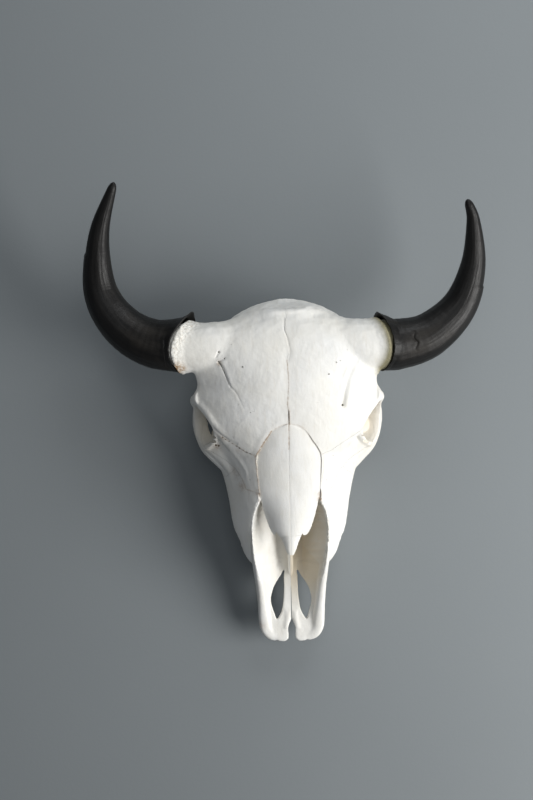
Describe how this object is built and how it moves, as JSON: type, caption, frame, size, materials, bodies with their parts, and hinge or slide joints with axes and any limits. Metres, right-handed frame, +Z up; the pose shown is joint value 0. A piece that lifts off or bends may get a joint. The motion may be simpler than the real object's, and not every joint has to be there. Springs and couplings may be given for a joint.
{
  "type": "bison skull",
  "caption": "Cleaned upper skull of an American bison bull with black horn sheaths and cheek teeth, without the lower jaw, lying face up as a still display model.",
  "frame": {"origin": "centre of the bounding box at its bottom, on the plane of the chewing faces of the teeth", "axes": "+Z up, out of the forehead; +Y from the snout to the back of the skull and the horn tips; +X to the animal's left"},
  "size_m": [0.648, 0.756, 0.2328],
  "materials": {
    "bone": "dry cleaned bone, off-white, matt",
    "horn_sheath": "black horn, lengthwise striations, semi-gloss"
  },
  "bodies": {
    "root": {"cranium": "bone", "frontal_left": "bone", "frontal_right": "bone", "lacrimal_left": "bone", "lacrimal_right": "bone", "zygomatic_left": "bone", "zygomatic_right": "bone", "maxilla_left": "bone", "maxilla_right": "bone", "premaxilla_left": "bone", "premaxilla_right": "bone", "nasal_left": "bone", "nasal_right": "bone", "vomer": "bone", "horn_left": "horn_sheath", "horn_right": "horn_sheath"}
  },
  "joints": []
}
